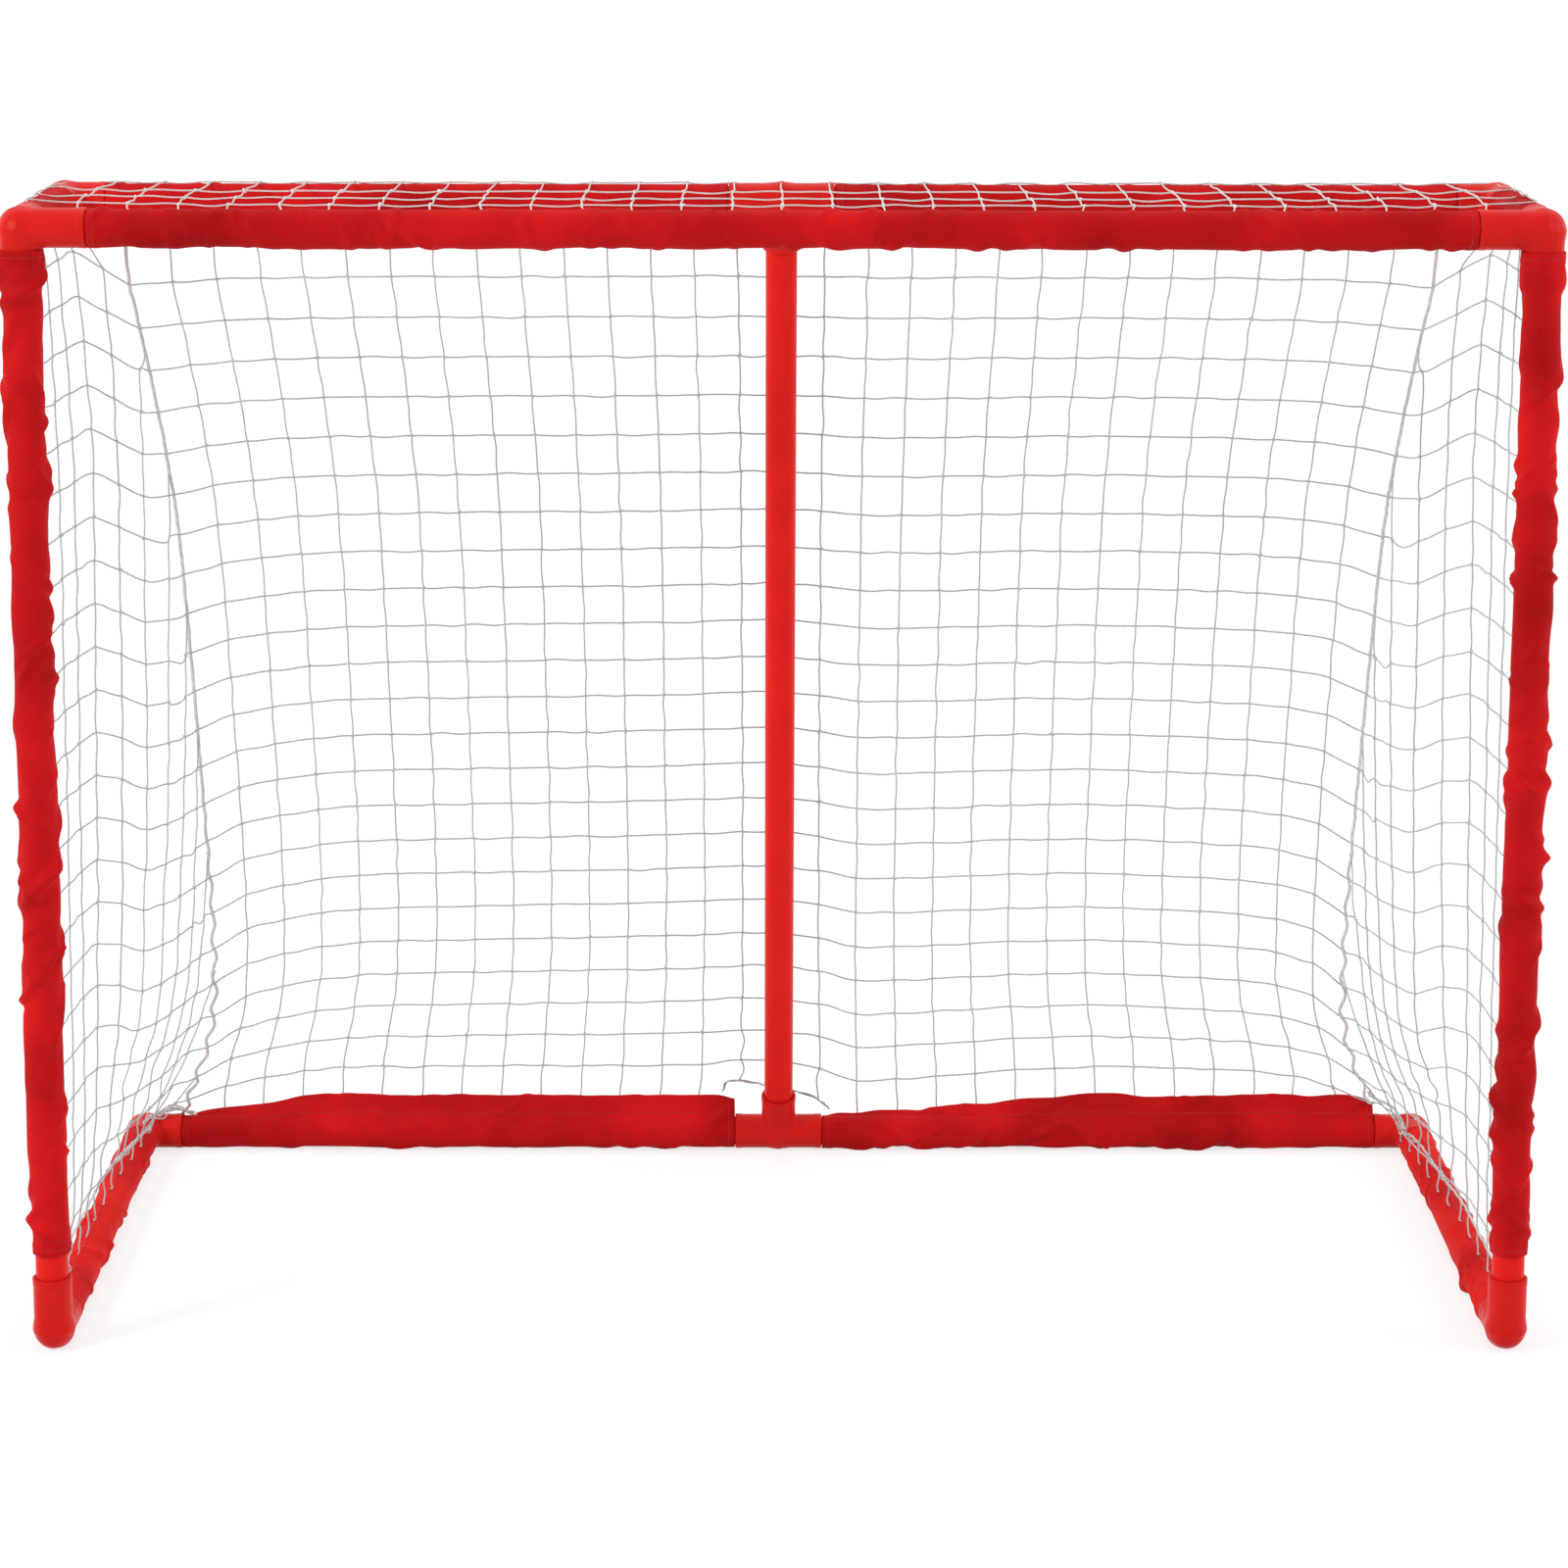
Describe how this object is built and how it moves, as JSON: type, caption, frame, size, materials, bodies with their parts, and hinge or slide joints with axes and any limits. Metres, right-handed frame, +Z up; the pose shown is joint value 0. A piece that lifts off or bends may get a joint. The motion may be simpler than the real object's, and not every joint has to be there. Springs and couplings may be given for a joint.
{
  "type": "floorball goal",
  "caption": "Free-standing plug-together tube goal with a sloping back, fabric sleeves on the bars and a knotted net on the back, top and sides.",
  "frame": {"origin": "middle of the goal's footprint, on the floor", "axes": "+X across the mouth to the right as seen from the front, +Y from the mouth to the back, +Z up"},
  "size_m": [1.4, 0.62, 1.07],
  "materials": {
    "fitting": "satin red moulded plastic",
    "tube": "satin red extruded plastic tube",
    "sleeve": "matt red woven fabric sleeve",
    "net": "white knotted cord",
    "cord": "white braided seam cord"
  },
  "bodies": {
    "root": {"base_side_sleeve_left": "sleeve", "base_side_sleeve_right": "sleeve", "base_side_tube_left": "tube", "base_side_tube_right": "tube", "centre_strut": "tube", "corner_tie_left": "cord", "corner_tie_right": "cord", "crossbar_sleeve": "sleeve", "crossbar_tube": "tube", "foot_elbow_left": "fitting", "foot_elbow_right": "fitting", "hem_cord_left": "cord", "hem_cord_right": "cord", "post_sleeve_left": "sleeve", "post_sleeve_right": "sleeve", "post_tube_left": "tube", "post_tube_right": "tube", "rear_base_elbow_left": "fitting", "rear_base_elbow_right": "fitting", "rear_base_sleeve_left": "sleeve", "rear_base_sleeve_right": "sleeve", "rear_base_tee": "fitting", "rear_base_tube_left": "tube", "rear_base_tube_right": "tube", "rear_net": "net", "rear_top_elbow_left": "fitting", "rear_top_elbow_right": "fitting", "rear_top_sleeve_left": "sleeve", "rear_top_sleeve_right": "sleeve", "rear_top_tee": "fitting", "rear_top_tube_left": "tube", "rear_top_tube_right": "tube", "seam_cord_left": "cord", "seam_cord_right": "cord", "side_net_left": "net", "side_net_right": "net", "top_corner_fitting_left": "fitting", "top_corner_fitting_right": "fitting", "top_net": "net", "top_side_sleeve_left": "sleeve", "top_side_sleeve_right": "sleeve", "top_side_tube_left": "tube", "top_side_tube_right": "tube"}
  },
  "joints": []
}
